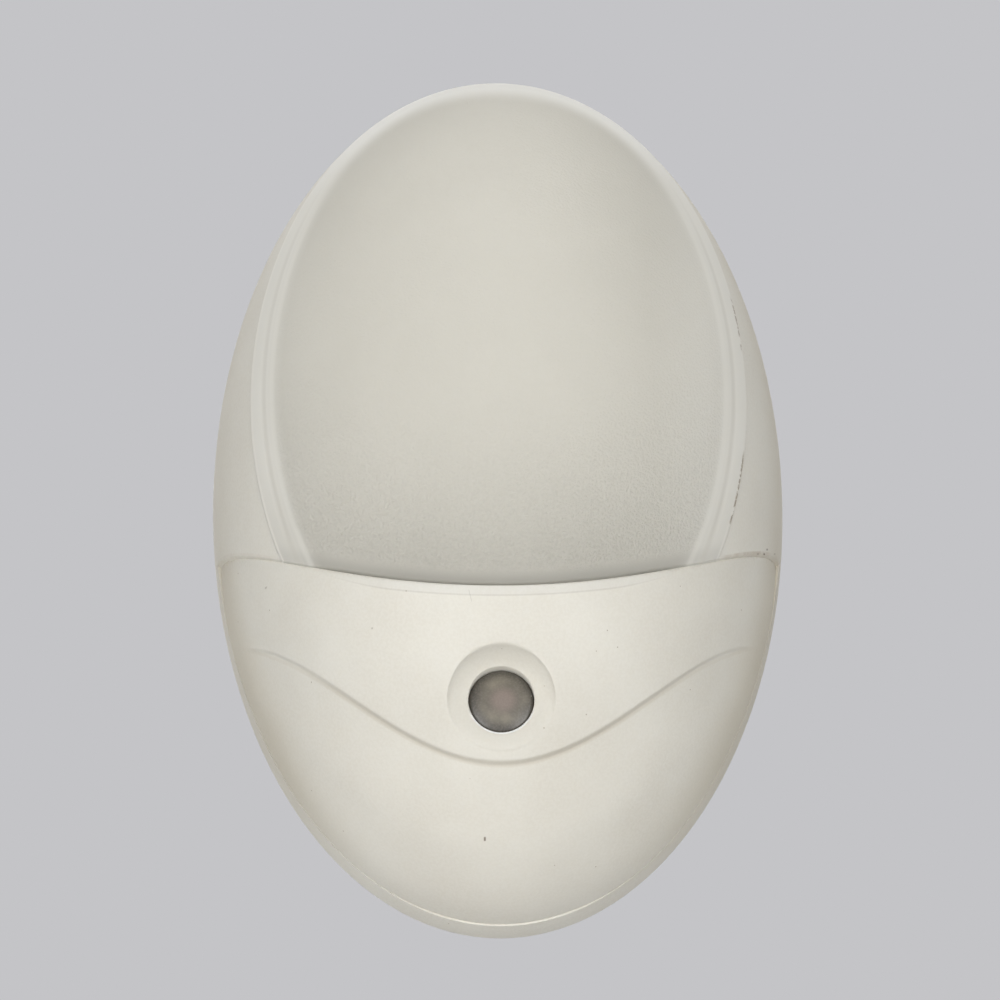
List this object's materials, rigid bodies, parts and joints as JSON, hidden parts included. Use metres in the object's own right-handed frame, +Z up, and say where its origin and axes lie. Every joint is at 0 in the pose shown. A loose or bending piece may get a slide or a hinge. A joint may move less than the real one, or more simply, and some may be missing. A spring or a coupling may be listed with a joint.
{
  "type": "plug in night light",
  "caption": "Oval automatic night light for a wall outlet: white two-piece housing, frosted snap-in lens, dusk sensor in a dish, screw-in lamp and flat plug blades.",
  "frame": {"origin": "on the wall plane, at the centre of the oval back", "axes": "+Z up along the oval's height, -Y out of the wall towards the room, +X to the viewer's right; the plug blades point along +Y"},
  "size_m": [0.064, 0.051, 0.1],
  "materials": {
    "housing_plastic": "satin warm white",
    "cover_plastic": "satin warm white",
    "lens_plastic": "frosted translucent",
    "window_plastic": "smoky translucent",
    "photocell_face": "orange with a dark track",
    "board_laminate": "green solder mask",
    "sheet_card": "pressed card",
    "component_black": "moulded",
    "capacitor_sleeve": "shrink sleeve",
    "resistor_body": "lacquered with colour bands",
    "solder": "bright",
    "holder_plastic": "heat-resistant moulding",
    "brass": "rolled sheet",
    "wire_black": "insulation",
    "wire_white": "insulation",
    "black_glass": "glossy",
    "clear_glass": "clear",
    "lamp_wire": "drawn wire",
    "screw_steel": "zinc plated"
  },
  "bodies": {
    "housing": {"rear_housing": "housing_plastic", "front_cover": "cover_plastic", "sensor_window": "window_plastic", "photocell": "photocell_face", "circuit_board": "board_laminate", "insulating_sheet": "sheet_card", "triac": "component_black", "capacitor": "capacitor_sleeve", "diode": "component_black", "resistors": "resistor_body", "solder_joints": "solder", "light_baffle": "housing_plastic", "lamp_holder": "holder_plastic", "holder_shell": "brass", "centre_contact": "brass", "live_wire": "wire_black", "neutral_wire": "wire_white", "line_blade": "brass", "neutral_blade": "brass", "blade_clamp": "holder_plastic", "clamp_screws": "screw_steel", "board_screws": "screw_steel", "holder_screws": "screw_steel", "cover_screws": "screw_steel"},
    "lens": {"lens": "lens_plastic"},
    "lamp_tip": {"lamp_tip": "solder"},
    "lamp": {"lamp_base": "brass", "lamp_insulator": "black_glass", "lamp_glass": "clear_glass", "lamp_stem": "clear_glass", "support_wires": "lamp_wire", "filament": "lamp_wire"}
  },
  "joints": [
    {"name": "lens_off", "type": "slide", "parent": "housing", "child": "lens", "axis": [0, -1, 0], "range_m": [0, 0.04]},
    {"name": "lamp_rise", "type": "slide", "parent": "housing", "child": "lamp_tip", "axis": [0, 0, 1], "range_m": [0, 0.00762]},
    {"name": "lamp_turn", "type": "hinge", "parent": "lamp_tip", "child": "lamp", "pos_m": [0, -0.0145, 0], "axis": [0, 0, 1], "range_deg": [0, 1080]}
  ],
  "couplings": [
    {"joint": "lamp_rise", "follows": "lamp_turn", "m_per_rad": 0.00040425}
  ]
}
